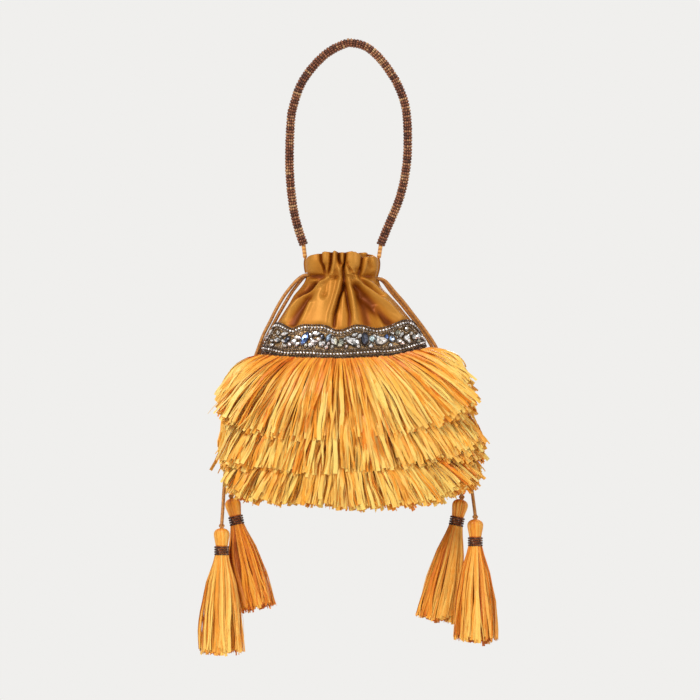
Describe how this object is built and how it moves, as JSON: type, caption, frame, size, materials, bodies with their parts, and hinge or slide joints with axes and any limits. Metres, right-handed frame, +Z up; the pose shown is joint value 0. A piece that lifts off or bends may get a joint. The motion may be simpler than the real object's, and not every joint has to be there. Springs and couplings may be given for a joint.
{
  "type": "potli bag",
  "caption": "Gathered satin drawstring pouch with a beaded rope handle, crystal band, tiered fringe and tassels.",
  "frame": {"origin": "underside of the top of the handle loop, where a hand or a hook carries the bag", "axes": "+Z up, +X to the right seen from the front, -Y is the front with the crystal band"},
  "size_m": [0.2583, 0.1118, 0.5353],
  "materials": {
    "mustard_satin": "gathered satin with a soft sheen",
    "lining_cotton": "plain cotton lining",
    "satin_cord": "satin rouleau cord",
    "raffia_fringe": "shiny flat raffia strands",
    "tassel_thread": "silky tassel thread",
    "copper_beads": "dark copper lustre seed beads",
    "silver_beads": "silver-lined seed beads",
    "band_gold": "dull gold metallic backing cloth",
    "crystal_clear": "faceted clear and grey crystal",
    "crystal_blue": "faceted blue and navy crystal",
    "crystal_tinted": "faceted pale tinted crystal"
  },
  "bodies": {
    "handle": {"handle_rope_core": "satin_cord", "handle_bead_sleeve": "copper_beads"},
    "pouch": {"satin_pouch": "mustard_satin", "lining": "lining_cotton", "left_drawstring_ring": "satin_cord", "right_drawstring_ring": "satin_cord", "upper_fringe_front": "raffia_fringe", "upper_fringe_back": "raffia_fringe", "middle_fringe_front": "raffia_fringe", "middle_fringe_back": "raffia_fringe", "lower_fringe_front": "raffia_fringe", "lower_fringe_back": "raffia_fringe", "band_backing": "band_gold", "upper_bead_edging": "silver_beads", "lower_bead_edging": "silver_beads", "crystal_grey_oval_left": "crystal_clear", "crystal_white_oval_left": "crystal_clear", "crystal_pink_round_left": "crystal_tinted", "crystal_dark_marquise_left": "crystal_blue", "crystal_clear_marquise_left": "crystal_clear", "crystal_clear_round_left": "crystal_clear", "crystal_grey_round_left": "crystal_clear", "crystal_blue_marquise": "crystal_blue", "crystal_clear_pear_left": "crystal_clear", "crystal_clear_marquise_top": "crystal_clear", "crystal_clear_pear_middle": "crystal_clear", "crystal_pale_blue_marquise": "crystal_tinted", "crystal_cream_marquise": "crystal_tinted", "crystal_grey_green_oval": "crystal_clear", "crystal_large_clear_pear": "crystal_clear", "crystal_navy_oval": "crystal_blue", "crystal_aqua_round": "crystal_tinted", "crystal_large_grey_pear": "crystal_clear", "crystal_lavender_round": "crystal_tinted", "crystal_olive_round": "crystal_tinted", "crystal_grey_oval_right": "crystal_clear", "crystal_clear_pear_right": "crystal_clear", "crystal_white_round_right": "crystal_clear", "left_front_tail": "satin_cord", "left_back_tail": "satin_cord", "right_front_tail": "satin_cord", "right_back_tail": "satin_cord"},
    "left_front_tassel": {"left_front_tassel_head": "tassel_thread", "left_front_tassel_collar": "copper_beads", "left_front_tassel_skirt": "tassel_thread"},
    "left_back_tassel": {"left_back_tassel_head": "tassel_thread", "left_back_tassel_collar": "copper_beads", "left_back_tassel_skirt": "tassel_thread"},
    "right_front_tassel": {"right_front_tassel_head": "tassel_thread", "right_front_tassel_collar": "copper_beads", "right_front_tassel_skirt": "tassel_thread"},
    "right_back_tassel": {"right_back_tassel_head": "tassel_thread", "right_back_tassel_collar": "copper_beads", "right_back_tassel_skirt": "tassel_thread"}
  },
  "joints": [
    {"name": "pouch_swing", "type": "hinge", "parent": "handle", "child": "pouch", "pos_m": [-0.0026, 0, -0.1815], "axis": [1, 0, 0], "range_deg": [-90, 90]},
    {"name": "left_front_tassel_swing", "type": "hinge", "parent": "pouch", "child": "left_front_tassel", "pos_m": [-0.107, -0.009, -0.4158], "axis": [0, 1, 0], "range_deg": [-45, 60]},
    {"name": "left_back_tassel_swing", "type": "hinge", "parent": "pouch", "child": "left_back_tassel", "pos_m": [-0.0992, 0.009, -0.3905], "axis": [0, 1, 0], "range_deg": [-36, 49]},
    {"name": "right_front_tassel_swing", "type": "hinge", "parent": "pouch", "child": "right_front_tassel", "pos_m": [0.1131, -0.009, -0.408], "axis": [0, 1, 0], "range_deg": [-60, 45]},
    {"name": "right_back_tassel_swing", "type": "hinge", "parent": "pouch", "child": "right_back_tassel", "pos_m": [0.1018, 0.009, -0.3914], "axis": [0, 1, 0], "range_deg": [-49, 36]}
  ]
}
